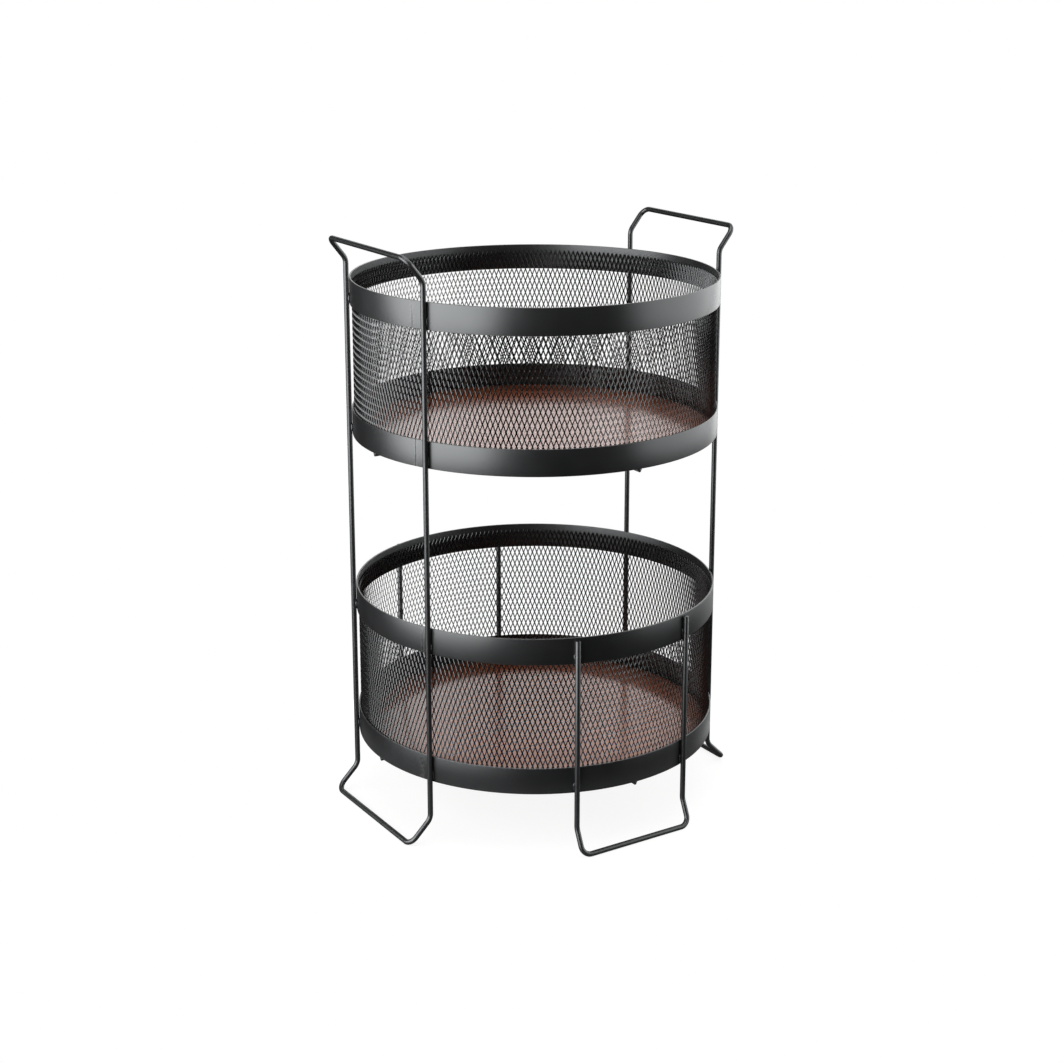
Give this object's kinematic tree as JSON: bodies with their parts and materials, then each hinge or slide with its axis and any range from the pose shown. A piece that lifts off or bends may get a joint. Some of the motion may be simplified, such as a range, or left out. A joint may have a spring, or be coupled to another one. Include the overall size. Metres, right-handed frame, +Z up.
{
  "type": "vegetable rack",
  "caption": "Free-standing tiered vegetable rack with round expanded-metal baskets, loose base boards, and wire side frames that form handles and feet.",
  "frame": {"origin": "centre of the footprint, on the floor under the foot bars", "axes": "+X towards the right side frame, +Y towards the rear foot, +Z up"},
  "size_m": [0.3706, 0.3592, 0.5519],
  "materials": {
    "band_steel": "black powder coat, satin, on steel strip",
    "mesh_steel": "black powder coat, satin, on expanded steel sheet",
    "wire_steel": "black powder coat, satin, on round steel wire",
    "base_board": "glossy brown laminate on hardboard"
  },
  "bodies": {
    "rack": {"upper_top_band": "band_steel", "upper_bottom_band": "band_steel", "upper_mesh_wall": "mesh_steel", "upper_straight_cross_wire": "wire_steel", "upper_bowed_cross_wire": "wire_steel", "lower_top_band": "band_steel", "lower_bottom_band": "band_steel", "lower_mesh_wall": "mesh_steel", "lower_straight_cross_wire": "wire_steel", "lower_bowed_cross_wire": "wire_steel", "left_side_frame": "wire_steel", "right_side_frame": "wire_steel", "front_foot": "wire_steel", "rear_foot": "wire_steel"},
    "upper_board": {"upper_base_board": "base_board"},
    "lower_board": {"lower_base_board": "base_board"}
  },
  "joints": [
    {"name": "upper_board_lift", "type": "slide", "parent": "rack", "child": "upper_board", "axis": [0, 0, 1], "range_m": [0, 0.2]},
    {"name": "lower_board_lift", "type": "slide", "parent": "rack", "child": "lower_board", "axis": [0, 0, 1], "range_m": [0, 0.285]}
  ]
}
